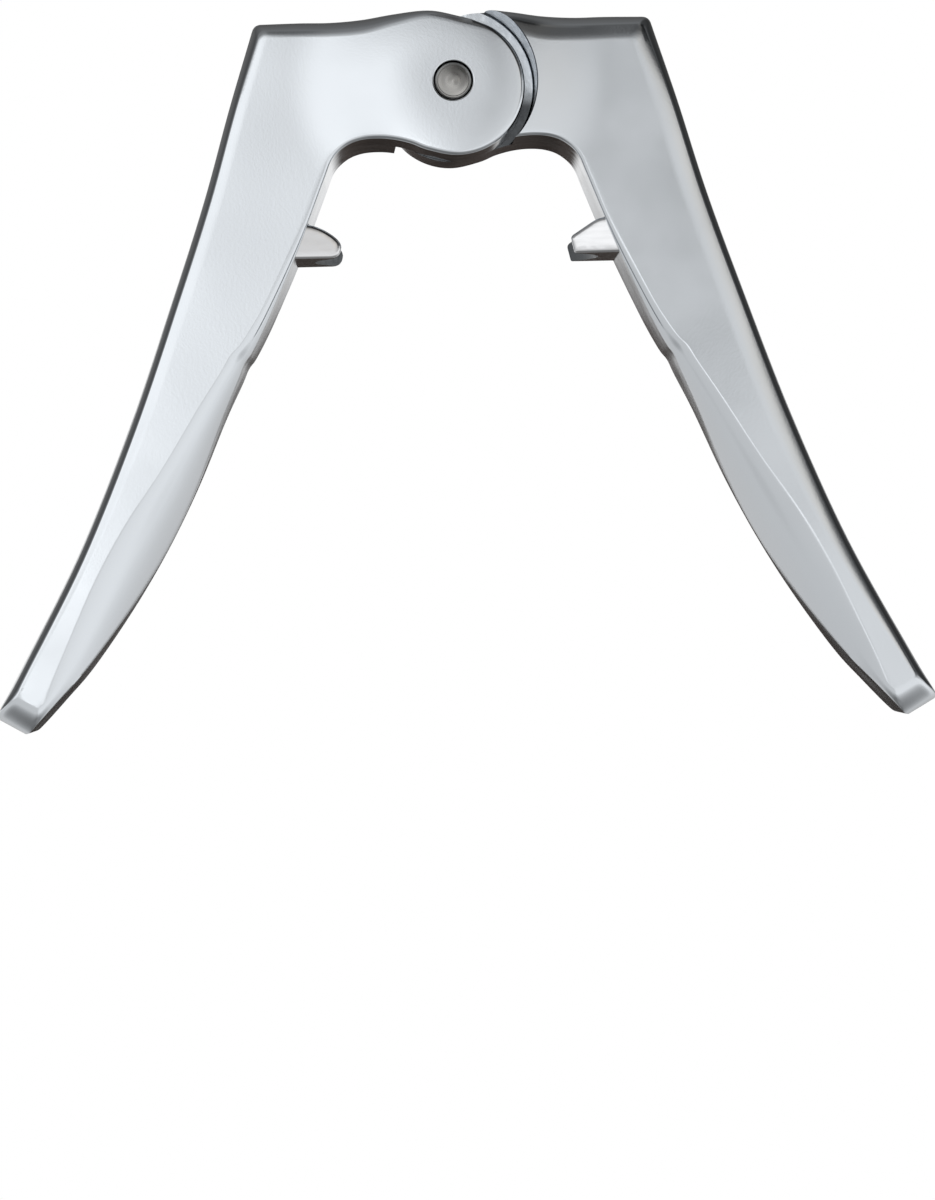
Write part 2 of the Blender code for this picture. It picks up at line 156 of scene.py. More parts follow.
# Numbers of a Mix node's colour sockets, which share their names with others
MIX_FACTOR, MIX_FIRST, MIX_SECOND, MIX_RESULT = 0, 6, 7, 2

# The stage
SENSOR_WIDTH = 36
FLOOR_THICKNESS = 20 * MM
KEY_LAMP_SPOT = Vector((-0.5, -0.6, 0.75))
FILL_LAMP_SPOT = Vector((0.7, -0.4, 0.6))

# The studio as the metal sees it, in stops. The first number of a stop is a direction's part across (left -1,
# right 1), up (down -1, up 1) or to the back (front -1, back 1). The second is a tone, where 1 is white. In
# the SIDE, SHARE, HORIZON and LOW_TO_HIGH stops it is how much of the second of two tones counts. The opening
# has a centre, a spread round it, and a shade by the distance from its centre.
SOFTBOXES_ACROSS = (
    (-0.98, 0.50),
    (-0.75, 0.95),
    (-0.20, 1.14),
    (-0.050, 1.14),
    (-0.040, 0.98),
    (-0.032, 0.84),
    (-0.012, 0.92),
    (0.005, 0.65),
    (0.022, 0.56),
    (0.034, 0.38),
    (0.045, 0.42),
    (0.060, 0.60),
    (0.080, 0.74),
    (0.12, 0.74),
    (0.16, (0.80, 0.77, 0.73)),
    (0.21, (0.76, 0.73, 0.69)),
    (0.27, 0.12),
    (0.50, 0.10),
    (0.72, 0.60),
    (0.98, 0.60),
)
SOFTBOXES_LOW = (
    (-0.98, 0.50),
    (-0.75, 0.95),
    (-0.20, 0.80),
    (-0.100, 0.80),
    (-0.082, 1.32),
    (-0.048, 1.36),
    (-0.038, 1.25),
    (-0.020, 0.92),
    (0.000, 0.78),
    (0.030, 0.68),
    (0.050, 0.68),
    (0.070, 0.78),
    (0.090, 0.86),
    (0.20, 0.80),
    (0.27, 0.40),
    (0.98, 0.60),
)
LOW_TO_HIGH = ((0.015, 0.0), (0.045, 1.0))
SOFTBOX_SIDE = ((-0.01, 0.0), (0.02, 1.0))
LEFT_SOFTBOX_UP = (
    (0.13, 1.00),
    (0.20, 0.50),
    (0.35, 0.30),
    (0.60, 0.24),
    (0.98, 0.18),
)
RIGHT_SOFTBOX_UP = (
    (0.13, 1.00),
    (0.20, 0.30),
    (0.33, 0.13),
    (0.60, 0.13),
    (0.98, 0.18),
)
BACKDROP_ACROSS = (
    (-0.90, 0.80),
    (-0.15, 1.00),
    (0.10, 1.00),
    (0.22, 0.35),
    (0.90, 0.35),
)
BACKDROP_UP = (
    (0.06, 0.85),
    (0.10, 0.14),
    (0.30, 0.09),
    (0.50, 0.12),
    (0.75, 0.14),
    (0.98, 0.18),
)
BACKDROP_SHARE = ((-0.10, 0.0), (0.40, 1.0))
TABLE_FRONT = (
    (-0.95, 0.62),
    (-0.05, 0.64),
    (0.05, 0.86),
    (0.95, 0.92),
)
TABLE_REAR = (
    (-0.90, 0.62),
    (-0.20, 0.56),
    (0.00, 0.38),
    (0.20, 0.48),
    (0.90, 0.86),
)
TABLE_DOWN = (
    (-0.85, 0.30),
    (-0.65, 0.65),
    (-0.50, 1.00),
)
LEFT_HORIZON = ((-0.085, 0.0), (-0.045, 1.0))
RIGHT_HORIZON = ((-0.10, 0.0), (-0.05, 1.0))
REAR_OPENING = (-0.005, 1.0, -0.07)
REAR_OPENING_SPREAD = (0.12, 0.5, 0.135)
OPENING_SHADE = ((0.75, (0.06, 0.05, 0.045)), (0.98, 1.0))

# Smoothness
PATH_STEPS = 8
CORNER_STEPS = 8
ROUND_STEPS = 10
STRIP_STEPS = 4
STEP_CROWDING = 1.5
SOFTEN_PASSES = 40
SOFTEN_PULL = 0.7
SOFTEN_FADE_LOOPS = 5
LUG_STEPS = 8
FLARE_STEPS = 4
FILLET_STEPS = 9
RIM_STEPS = 6
TURN_STEPS = 192
PIN_TURN_STEPS = 96
FLOOR_STEPS = 128
CORNER_LIMIT_SHARE = 0.45
SMOOTH_ANGLE = math.radians(32)
PIN_SMOOTH_ANGLE = math.radians(16)
FACE_WEIGHT = 80


def length(name, description, millimetres):
    """A size that a user may change, given in millimetres and held in metres."""
    return FloatProperty(
        name=name,
        description=description,
        default=millimetres * MM,
        precision=5,
        unit="LENGTH",
        subtype="DISTANCE",
    )


def angle(name, description, degrees):
    return FloatProperty(
        name=name,
        description=description,
        default=math.radians(degrees),
        unit="ROTATION",
        subtype="ANGLE",
    )


def share(name, description, default):
    return FloatProperty(name=name, description=description, default=default, min=0, max=1, subtype="FACTOR")


def watts(name, description, default):
    return FloatProperty(name=name, description=description, default=default, unit="POWER")


def linear(hexadecimal):
    """An sRGB colour such as "C8CCD0" as linear red, green and blue."""
    parts = [int(hexadecimal[start : start + 2], 16) / 255 for start in (0, 2, 4)]
    return tuple(part / 12.92 if part <= 0.04045 else ((part + 0.055) / 1.055) ** 2.4 for part in parts)


def colour(name, description, hexadecimal):
    return FloatVectorProperty(
        name=name,
        description=description,
        default=linear(hexadecimal),
        min=0,
        max=1,
        size=3,
        subtype="COLOR",
    )


class LeverSizes(PropertyGroup):
    reach: length("Reach", "Hinge axis to the handle's tip, across", 60.75)
    drop: length("Drop", "Hinge axis to the handle's tip, down", 82.75)
    head_reach: length("Head reach", "Hinge axis to the head's outer corner", 25.6)
    head_rise: length("Head rise", "Hinge axis to the head's top edge", 8.45)
    head_corner: length("Head corner", "Rounding of the head's outer corner", 0.9)
    tip_inner_corner: length("Inner tip corner", "Rounding of the tip's inner corner", 0.9)
    tip_outer_corner: length("Outer tip corner", "Rounding of the tip's outer corner", 1.0)
    lug_radius: length("Lug radius", "Radius of the disc at the hinge", 8.8)
    lug_shift: length("Lug shift", "How far the disc's centre is off the axis, across", 0.35)
    lug_drop: length("Lug drop", "How far the disc's centre is below the axis", 0.75)
    lug_start: angle("Lug start", "Where the disc's rim starts", 104)
    lug_end: angle("Lug end", "Where the disc's rim ends", 272)
    shoulder_gap: length("Shoulder gap", "Room between a lug's rim and the other lever's shoulder", 1.14)
    shoulder_draft: length("Shoulder draft", "How much narrower the shoulder is at the lap", 0.15)
    shoulder_fillet: length("Shoulder fillet", "Fillet between the shoulder's wall and the lap", 0.25)
    shoulder_flare: length("Shoulder flare", "Width of the bright rim round the shoulder", 0.2)
    lap_gap: length("Lap gap", "Room between the two lugs", 0.4)
    fine_across: length("Fine edge across", "Rounding of the lug's rim and of the arch, on the face", 0.5)
    fine_down: length("Fine edge down", "Rounding of the lug's rim and of the arch, down the side", 0.5)
    top_across: length("Top edge across", "How far the top falls from the parting line, on the face", 2.25)
    outer_across: length("Outer edge across", "How far the outer side falls away, on the face", 1.42)
    crown_down: length("Crown depth", "How far the top and the outer side are crowned, down the side", 11.9)
    left_top_strip: length("Left top strip", "Width of the softened strip below the left lever's top", 0.5)
    left_top_fall: length("Left top fall", "How far that strip falls away from the face", 0.03)
    left_outer_strip: length(
        "Left outer strip", "Width of the softened strip at the left lever's outer side", 1.4
    )
    left_outer_fall: length("Left outer fall", "How far that strip falls away from the face", 0.04)
    right_top_strip: length("Right top strip", "Width of the softened strip below the right lever's top", 1.7)
    right_top_fall: length("Right top fall", "How far that strip falls away from the face", 0.18)
    right_outer_strip: length(
        "Right outer strip", "Width of the softened strip at the right lever's outer side", 2.6
    )
    right_outer_fall: length("Right outer fall", "How far that strip falls away from the face", 0.12)
    grip_across: length("Grip across", "Soft rounding of the grip, on the face", 4.2)
    grip_down: length("Grip down", "Soft rounding of the grip, down the side", 11.4)
    grip_strip: length("Grip strip", "Width over which the grip's rounding starts", 2.5)
    grip_fall: length("Grip fall", "How far that strip falls away from the face", 0.07)
    tip_across: length("Tip across", "How far the tip rolls off, on the face", 4.0)
    tip_down: length("Tip down", "How far the tip rolls off, down its end", 5.5)


class ClawSizes(PropertyGroup):
    tip_height: length("Nose height", "Height of the claw's nose", 2.1)
    slope: length("Slope", "How far back from the nose the top starts to fall", 3.7)
    undercut: length("Undercut", "How far the nose's lower corner is set back", 0.5)
    left_nose: length("Left nose", "Rounding of the left claw's nose", 2.0)
    right_nose: length("Right nose", "Rounding of the right claw's nose", 0.45)
    edge: length("Edge", "Rounding of the claw's side edges", 0.4)
    strip: length("Strip", "Width of the softened strip inside the edge", 0.6)
    strip_fall: length("Strip fall", "How far that strip falls away from the side face", 0.02)
    taper: angle("Taper", "How much each side face leans in towards the nose", 4)
    bite_radius: length("Bite radius", "Radius of the hollow that closes round the cork's neck", 14.0)
    prong: length("Prong", "Width of the prongs beside the hollow", 1.4)
    bite_lean: angle("Bite lean", "How far the hollow leans when the handles are open", 10)
    fit: length("Fit", "Room between a claw's tenon and its slot", 0.02)


class PinSizes(PropertyGroup):
    radius: length("Radius", "Radius of the hinge pin", 2.4)
    rim: length("Rim", "Rounding of the pin's end", 0.36)
    groove_pitch: length("Groove pitch", "Spacing of the turning marks on the pin's end", 0.14)
    groove_slope: angle("Groove slope", "Slope of the turning marks' sides", 5)
    crown: length("Crown", "How far the pin's end falls from its middle to its rim", 0.42)
    hole_radius: length("Hole radius", "Radius of the hole in the left lug", 2.53)
    hole_chamfer: length("Hole chamfer", "Chamfer round that hole", 0.2)
    head_radius: length("Head radius", "Radius of the pin's head at the back", 4.4)
    head_depth: length("Head depth", "Thickness of the pin's head", 1.6)
    fit: length("Fit", "Room around the pin's head, the bush and the washers", 0.28)
    bush_radius: length("Bush radius", "Outer radius of the bearing bush", 3.73)
    washer_radius: length("Washer radius", "Radius of the thrust washers", 6.1)
    washer_seat: length("Washer seat", "Depth of the washers' seat from the middle of the lap", 1.56)


class Finishes(PropertyGroup):
    plating: colour("Plating", "Satin chrome on the levers", "E7ECF1")
    cast_plating: colour("Cast plating", "Chrome over the rough casting in the shoulders", "E8EEF4")
    claw_plating: colour("Claw plating", "Bright chrome on the claws", "ECEDEF")
    pin_steel: colour("Pin steel", "Turned stainless steel of the pin", "C4C3C0")
    spring_steel: colour("Spring steel", "Tempered spring steel of the wave washer", "A8A49E")
    bronze: colour("Bearing bronze", "Sintered bronze of the bush", "B98A4E")
    nylon: colour("Nylon", "Moulded white nylon of the thrust washers", "E4E2DA")
    satin_roughness: share("Satin roughness", "Roughness of the satin chrome", 0.13)
    bright_roughness: share("Bright roughness", "Roughness of the bright chrome", 0.1)


class Studio(PropertyGroup):
    lens: FloatProperty(name="Lens", description="Focal length of the camera", default=176.5, unit="CAMERA")
    distance: length("Distance", "Camera to the middle of the opener", 765)
    camera_out: length("Camera across", "Camera's place across, from the hinge axis", -6.87)
    aim_out: length("Aim across", "Where the camera aims, across from the hinge axis", 0.43)
    aim_drop: length("Aim drop", "How far below the hinge axis the camera aims", 66.57)
    roll: angle("Roll", "How far the opener leans in the picture", 1.3)
    floor_drop: length("Floor", "Height of the floor below the cork's top", 240)
    floor_radius: length("Floor radius", "Radius of the floor", 900)
    floor_colour: colour("Floor", "Pale floor", "F4F4F3")
    key_power: watts("Key lamp", "Power of the soft lamp on the left", 4)
    fill_power: watts("Fill lamp", "Power of the soft lamp on the right", 2.5)
    lamp_size: length("Lamp size", "Width of the soft lamps", 700)


class OpenerSettings(PropertyGroup):
    lever: PointerProperty(type=LeverSizes)
    claw: PointerProperty(type=ClawSizes)
    pin: PointerProperty(type=PinSizes)
    finishes: PointerProperty(type=Finishes)
    studio: PointerProperty(type=Studio)


# Shapes


def spline_between(before, start, end, after, steps):
    """Points of a Catmull-Rom span, without its last point."""
    points = []
    for step in range(steps):
        t = step / steps
        points.append(
            start
            + (end - before) * (t / 2)
            + (before * 2 - start * 5 + end * 4 - after) * (t * t / 2)
            + (start * 3 - before - end * 3 + after) * (t * t * t / 2)
        )
    return points


def smooth_chain(points, steps):
    """A smooth open path through the points, without its last point."""
    padded = [points[0] * 2 - points[1], *points, points[-1] * 2 - points[-2]]
    path = []
    for index in range(len(points) - 1):
        path += spline_between(*padded[index : index + 4], steps)
    return path


def corner_arc(before, corner, after, radius, steps):
    """A rounded corner that starts and ends one radius from the corner point, where its sides allow."""
    back, on = before - corner, after - corner
    start = corner + back.normalized() * min(radius, CORNER_LIMIT_SHARE * back.length)
    end = corner + on.normalized() * min(radius, CORNER_LIMIT_SHARE * on.length)
    arc = []
    for step in range(steps + 1):
        t = step / steps
        arc.append(start * (1 - t) ** 2 + corner * (2 * t * (1 - t)) + end * t * t)
    return arc


def between(first, second, amount):
    """Two edges' measures mixed: across the face, down the side, the strip's width and its fall."""
    return tuple(a + (b - a) * amount for a, b in zip(first, second))


def edge_section(edge, step):
    """How far in from the outline, and how far below the face, an edge's surface lies at a step.

    The first steps go round a quarter of an ellipse, closer together near the face. The last ones cross the
    softened strip, which the ellipse meets at the strip's own slope.
    """
    across, down, strip, fall = edge
    if step > ROUND_STEPS:
        part = (step - ROUND_STEPS) / STRIP_STEPS
        return across + strip * part, fall * (1 - part) ** 2
    lead = math.atan(2 * fall / strip * across / down)
    turn = lead + (math.pi / 2 - lead) * (1 - step / ROUND_STEPS) ** STEP_CROWDING
    inward = across * (1 - math.sin(turn)) / (1 - math.sin(lead))
    return inward, fall + down * (math.cos(lead) - math.cos(turn)) / math.cos(lead)


def lever_stations(sizes, side):
    """The outline, anticlockwise from the head's corner: place, following edge, edge here, corner radius."""
    fine = (sizes.fine_across, sizes.fine_down, FINE_STRIP, FINE_FALL)
    top_strip = (getattr(sizes, side + "_top_strip"), getattr(sizes, side + "_top_fall"))
    outer_strip = (getattr(sizes, side + "_outer_strip"), getattr(sizes, side + "_outer_fall"))
    top = (sizes.top_across, sizes.crown_down, *top_strip)
    outer = (sizes.outer_across, sizes.crown_down, *outer_strip)
    plain = (sizes.outer_across, sizes.crown_down, PLAIN_STRIP, PLAIN_FALL)
    grip = (sizes.grip_across, sizes.grip_down, sizes.grip_strip, sizes.grip_fall)
    tip = (sizes.tip_across, sizes.tip_down, TIP_STRIP, TIP_FALL)

    def head(out, up):
        return Vector((sizes.head_reach * out, 0, sizes.head_rise * up))

    def handle(out, down):
        return Vector((sizes.reach * out, 0, -sizes.drop * down))

    stations = [(head(1, 1), top, top, sizes.head_corner)]
    for out, up, grown, deepened in TOP_SHARES:
        edge = between(fine, top, grown)
        edge = (edge[0], between(fine, top, deepened)[1], *edge[2:])
        stations.append((head(out, up), edge, edge, None))
    for step in range(LUG_STEPS + 1):
        turn = sizes.lug_start + (sizes.lug_end - sizes.lug_start) * step / LUG_STEPS
        out = sizes.lug_radius * math.cos(turn) - sizes.lug_shift
        up = sizes.lug_radius * math.sin(turn) - sizes.lug_drop
        stations.append((Vector((out, 0, up)), fine, fine, None))
    for out, up in ARCH_SHARES:
        stations.append((head(out, up), fine, fine, None))
    for out, down, grown in GRIP_SHARES:
        edge = between(fine, grip, grown)
        stations.append((handle(out, down), edge, edge, None))
    stations.append((handle(*TIP_INNER_SHARES), tip, fine, sizes.tip_inner_corner))
    outer_tip = (plain[0], TIP_OUTER_SHARE * sizes.tip_down, *plain[2:])
    stations.append((handle(*TIP_OUTER_SHARES), plain, outer_tip, sizes.tip_outer_corner))
    for out, down, grown in OUTER_SHARES:
        edge = between(plain, outer, grown)
        across = sizes.head_reach + (sizes.reach - sizes.head_reach) * out
        up = sizes.head_rise - (sizes.head_rise + sizes.drop) * down
        stations.append((Vector((across, 0, up)), edge, edge, None))
    return stations


def inward_vectors(stations, step):
    """How far each station moves inward at a step, so that each edge moves by about its own measure."""
    normals = []
    for index, station in enumerate(stations):
        along = stations[(index + 1) % len(stations)][0] - station[0]
        normals.append(Vector((-along.z, 0, along.x)).normalized())
    vectors = []
    for index, station in enumerate(stations):
        before, after = normals[index - 1], normals[index]
        pull = before * edge_section(stations[index - 1][1], step)[0]
        pull += after * edge_section(station[1], step)[0]
        vectors.append(pull / (1 + before.dot(after)))
    return vectors


def outline_ring(stations, step, half_depth):
    """One loop round a piece's back half at an edge's step: 0 is the outline, the last bounds the face."""
    points = []
    for station, inward in zip(stations, inward_vectors(stations, step)):
        point = station[0] + inward
        point.y = half_depth - edge_section(station[2], step)[1]
        points.append(point)
    count = len(points)
    corners = [index for index in range(count) if stations[index][3]]
    arcs = {}
    for index in corners:
        after = points[(index + 1) % count]
        arcs[index] = corner_arc(points[index - 1], points[index], after, stations[index][3], CORNER_STEPS)
    ring = []
    for place, index in enumerate(corners):
        following = corners[(place + 1) % len(corners)]
        last = following if following > index else following + count
        middle = [points[other % count] for other in range(index + 1, last)]
        chain = [arcs[index][-1], *middle, arcs[following][0]]
        ring += arcs[index][:-1] + smooth_chain(chain, PATH_STEPS)
    nearest = min(point.y for point in points)
    farthest = max(point.y for point in points)
    for point in ring:
        point.y = min(max(point.y, nearest), farthest)
    return ring


def outline_rings(stations, half_depth, polish=None):
    """All loops of a piece, from its front face over its sides to its back face."""
    rings = [outline_ring(stations, step, half_depth) for step in range(ROUND_STEPS + STRIP_STEPS + 1)]
    if polish is not None:
        polish(rings, stations, half_depth)
    front = [[Vector((point.x, -point.y, point.z)) for point in ring] for ring in reversed(rings)]
    return front + rings


def inside(point, start, end):
    """How far a point lies inside the line from start to end."""
    along = (end - start).normalized()
    return (point - start).dot(Vector((-along.z, 0, along.x)))


def roll_off_tip(rings, end, from_end, half_depth):
    """Roll the handle's tip off towards its end, over and above its sides' own rounding."""
    across, down = end[:2]
    for ring in rings:
        for point in ring:
            left = 1 - min(max(from_end(point) / across, 0), 1)
            rolled = down * (1 - math.sqrt(1 - left * left))
            point.y = half_depth - math.hypot(rolled, half_depth - point.y)


def polish_lever(rings, stations, half_depth):
    """Shape a lever's tip and soften its grip, as a polisher would."""
    _, inner, outer = [station for station in stations if station[3]]

    def from_end(point):
        return inside(point, inner[0], outer[0])

    roll_off_tip(rings, inner[1], from_end, half_depth)
    soften(rings, grip_softness(rings[0], from_end))


def soften(rings, weights):
    """Even out the surface between the outline and the face, where the weights say, as a polisher would."""
    count = len(weights)
    places = [index for index in range(count) if weights[index] > 0]
    for _ in range(SOFTEN_PASSES):
        for loop in range(1, len(rings)):
            ring, inner = rings[loop], rings[min(loop + 1, len(rings) - 1)]
            pull = SOFTEN_PULL * min((len(rings) - 1 - loop) / SOFTEN_FADE_LOOPS, 1)
            moved = {}
            for index in places:
                around = ring[index - 1] + ring[(index + 1) % count] + rings[loop - 1][index] + inner[index]
                moved[index] = ring[index].lerp(around / 4, pull * weights[index])
            for index, point in moved.items():
                ring[index] = point


def grip_softness(ring, from_end):
    """How soft a lever is at each place of its outline: fully along the grip, and not at the tip."""
    far = max(range(len(ring)), key=lambda index: ring[index].x)
    weights = []
    for index, point in enumerate(ring):
        below_head = min(max((-point.z - SOFT_BELOW) / SOFT_BELOW_OVER, 0), 1)
        above_tip = min(max((from_end(point) - SOFT_ABOVE_TIP) / SOFT_ABOVE_TIP_OVER, 0), 1)
        weights.append(below_head * above_tip if index < far else 0)
    return weights


def turned_rings(profile, steps=TURN_STEPS):
    """Loops of a turned shape about the hinge's line, from (radius, place along Y) pairs."""
    rings = []
    for radius, along in profile:
        ring = []
        for step in range(steps):
            turn = 2 * math.pi * step / steps
            ring.append(Vector((radius * math.cos(turn), along, radius * math.sin(turn))))
        rings.append(ring)
    return rings


def loft(name, rings, place):
    """A closed body: a circle laid on the first loop, extruded from loop to loop, and filled at both ends."""
    bpy.ops.object.select_all(action="DESELECT")
    bpy.ops.mesh.primitive_circle_add(vertices=len(rings[0]), radius=HALF_DEPTH, fill_type="NOTHING")
    body = bpy.context.object
    body.name = name
    body.data.name = name
    numbers = body.data.attributes.new("station", "INT", "POINT")
    numbers.data.foreach_set("value", list(range(len(rings[0]))))
    bpy.ops.object.mode_set(mode="EDIT")
    bpy.ops.mesh.select_mode(type="EDGE")
    bpy.ops.mesh.select_all(action="SELECT")
    for count, ring in enumerate(rings):
        if count:
            bpy.ops.mesh.extrude_edges_move()
        shape = bmesh.from_edit_mesh(body.data)
        number = shape.verts.layers.int["station"]
        for vertex in shape.verts:
            if vertex.select:
                vertex.co = place @ ring[vertex[number]]
        bmesh.update_edit_mesh(body.data)
    bpy.ops.mesh.select_all(action="SELECT")
    bpy.ops.mesh.fill_holes(sides=0)
    bpy.ops.mesh.select_all(action="SELECT")
    bpy.ops.mesh.normals_make_consistent(inside=False)
    bpy.ops.object.mode_set(mode="OBJECT")
    body.data.attributes.remove(body.data.attributes["station"])
    return body


def apply_modifier(body, modifier):
    bpy.context.view_layer.objects.active = body
    bpy.ops.object.modifier_apply(modifier=modifier.name)


def take_out(body, cutter):
    """Cut one body's shape out of another. Faces that the cutter leaves have the cutter's material."""
    boolean = body.modifiers.new("cut", "BOOLEAN")
    boolean.operation = "DIFFERENCE"
    boolean.solver = "EXACT"
    boolean.material_mode = "TRANSFER"
    boolean.object = cutter
    faces = len(body.data.polygons)
    apply_modifier(body, boolean)
    if len(body.data.polygons) in (0, faces):
        raise RuntimeError(f"{body.name} was not cut by {cutter.name}")
    bpy.data.objects.remove(cutter, do_unlink=True)


def finish_piece(body, carrier, slot, *nodes, smooth=SMOOTH_ANGLE):
    """Smooth shading with flat faces kept flat, then the body and the nodes the piece stands for; slot is
    unused.
    """
    bpy.ops.object.select_all(action="DESELECT")
    body.select_set(True)
    bpy.context.view_layer.objects.active = body
    bpy.ops.object.shade_smooth_by_angle(angle=smooth)
    weighted = body.modifiers.new("weighted", "WEIGHTED_NORMAL")
    weighted.keep_sharp = True
    weighted.weight = FACE_WEIGHT
    apply_modifier(body, weighted)
    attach(body, carrier)
    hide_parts(*nodes)


def side_place(mirrored):
    """A side's place: on the hinge axis, and turned half a turn about the upright for the left side."""
    turn = Matrix.Rotation(math.pi if mirrored else 0, 4, "Z")
    return Matrix.Translation((0, 0, HINGE_HEIGHT)) @ turn


# Materials


def add_node(tree, kind, fields=None, values=None, links=None):
    """A node with its settings, the values of its inputs, and links into its inputs."""
    node = tree.nodes.new(kind)
    for field, value in (fields or {}).items():
        setattr(node, field, value)
    for socket, value in (values or {}).items():
        node.inputs[socket].default_value = value
    for socket, source in (links or {}).items():
        tree.links.new(source, node.inputs[socket])
    return node


def new_material(name, metallic):
    """A material with its shader and its Object coordinates."""
    material = bpy.data.materials.new(name)
    material.use_nodes = True
    tree = material.node_tree
    shader = tree.nodes["Principled BSDF"]
    shader.inputs["Metallic"].default_value = metallic
    places = add_node(tree, "ShaderNodeTexCoord")
    return material, tree, shader, places.outputs["Object"]


def set_ramp(node, stops):
    """Fill a colour ramp with (position, linear colour) stops."""
    stops = [(place, (shade,) * 3 if isinstance(shade, (int, float)) else shade) for place, shade in stops]
    ramp = node.color_ramp
    while len(ramp.elements) > 1:
        ramp.elements.remove(ramp.elements[-1])
    ramp.elements[0].position = stops[0][0]
    ramp.elements[0].color = (*stops[0][1], 1)
    for place, shade in stops[1:]:
        ramp.elements.new(place).color = (*shade, 1)


def patchy(tree, places, spacing, detail=2.0):
    """A soft irregular pattern with the given spacing, spread between 0 and 1."""
    noise = add_node(
        tree,
        "ShaderNodeTexNoise",
        values={"Scale": 1 / spacing, "Detail": detail, "Roughness": 0.5},
        links={"Vector": places},
    )
    spread = add_node(
        tree,
        "ShaderNodeMapRange",
        values={"From Min": NOISE_LOW, "From Max": NOISE_HIGH},
        links={"Value": noise.outputs["Fac"]},
    )
    return spread.outputs["Result"]


def tinted(tree, pattern, base, darker):
    """A metal's colour, a little darker where the pattern is low."""
    mix = add_node(
        tree,
        "ShaderNodeMix",
        {"data_type": "RGBA"},
        {MIX_FIRST: (*(part * darker for part in base), 1), MIX_SECOND: (*base, 1)},
        {MIX_FACTOR: pattern},
    )
    return mix.outputs[MIX_RESULT]


def blurred(tree, shader, pattern, least, most):
    """Let a material's roughness follow the pattern between two values."""
    blur = add_node(
        tree,
        "ShaderNodeMapRange",
        values={"To Min": least, "To Max": most},
        links={"Value": pattern},
    )
    tree.links.new(blur.outputs["Result"], shader.inputs["Roughness"])


def bump(tree, height, distance, normal=None):
    """A bump whose height pattern counts for the given distance."""
    links = {"Height": height}
    if normal is not None:
        links["Normal"] = normal
    node = add_node(tree, "ShaderNodeBump", values={"Strength": 1.0, "Distance": distance}, links=links)
    return node.outputs["Normal"]


def satin_chrome(name, base, roughness):
    """Chrome over a polished and finely blasted zinc casting: a soft pearly grey that runs in slow waves.

    The polishing wheel leaves waves some 30 mm long and a tenth of a millimetre deep. The blasting's grain is
    finer than the render shows, so it is drawn at 0.3 mm.
    """
    material, tree, shader, places = new_material(name, 1.0)
    waves = patchy(tree, places, spacing=30 * MM, detail=1.0)
    grain = patchy(tree, places, spacing=0.3 * MM)
    cloud = patchy(tree, places, spacing=9 * MM, detail=3.0)
    tree.links.new(tinted(tree, cloud, base, darker=0.975), shader.inputs["Base Color"])
    blurred(tree, shader, cloud, least=roughness - 0.025, most=roughness + 0.025)
    from_pin = add_node(
        tree,
        "ShaderNodeMapping",
        values={"Location": (0, 0, -HINGE_HEIGHT), "Scale": (1, 0, 1)},
        links={"Vector": places},
    )
    distance = add_node(
        tree, "ShaderNodeVectorMath", {"operation": "LENGTH"}, links={0: from_pin.outputs["Vector"]}
    )
    dome = add_node(
        tree,
        "ShaderNodeMapRange",
        {"interpolation_type": "SMOOTHERSTEP"},
        {"From Min": DOME_TOP, "From Max": DOME_FOOT, "To Min": 1.0, "To Max": 0.0},
        {"Value": distance.outputs["Value"]},
    )
    normal = bump(tree, waves, distance=0.12 * MM)
    normal = bump(tree, dome.outputs["Result"], distance=DOME_RISE, normal=normal)
    tree.links.new(bump(tree, grain, distance=0.001 * MM, normal=normal), shader.inputs["Normal"])
    return material


def mould_smooth_chrome(name, base):
    """Chrome over a wall that kept the mould's own polish: a clear mirror with a faint ripple."""
    material, tree, shader, places = new_material(name, 1.0)
    ripple = patchy(tree, places, spacing=4 * MM)
    tree.links.new(tinted(tree, ripple, base, darker=0.96), shader.inputs["Base Color"])
    blurred(tree, shader, ripple, least=0.06, most=0.1)
    tree.links.new(bump(tree, ripple, distance=0.02 * MM), shader.inputs["Normal"])
    return material


def cast_chrome(name, base):
    """Chrome over metal that was left rough, in the shoulders and the claws' hollows: a grainy blue-grey.

    Below the hinge axis its colour is painted dark, as painted shade.
    """
    material, tree, shader, places = new_material(name, 1.0)
    grain = patchy(tree, places, spacing=0.55 * MM, detail=4.0)
    skin = patchy(tree, places, spacing=3 * MM)
    height = add_node(tree, "ShaderNodeSeparateXYZ", links={"Vector": places})
    # Painted shade: below the hinge axis the colour is darkened to 0.15 of the plating, fading in over 2.5
    # mm.
    painted_shade_mask = add_node(
        tree,
        "ShaderNodeMapRange",
        values={"From Min": HINGE_HEIGHT - PAINTED_SHADE_FADE, "From Max": HINGE_HEIGHT},
        links={"Value": height.outputs["Z"]},
    )
    mottled = tinted(tree, skin, base, darker=0.85)
    painted_shade_mix = add_node(
        tree,
        "ShaderNodeMix",
        {"data_type": "RGBA"},
        {MIX_FIRST: (*(part * PAINTED_SHADE_SHARE for part in base), 1)},
        {MIX_FACTOR: painted_shade_mask.outputs["Result"], MIX_SECOND: mottled},
    )
    tree.links.new(painted_shade_mix.outputs[MIX_RESULT], shader.inputs["Base Color"])
    blurred(tree, shader, grain, least=0.12, most=0.26)
    normal = bump(tree, skin, distance=0.03 * MM)
    tree.links.new(bump(tree, grain, distance=0.006 * MM, normal=normal), shader.inputs["Normal"])
    return material


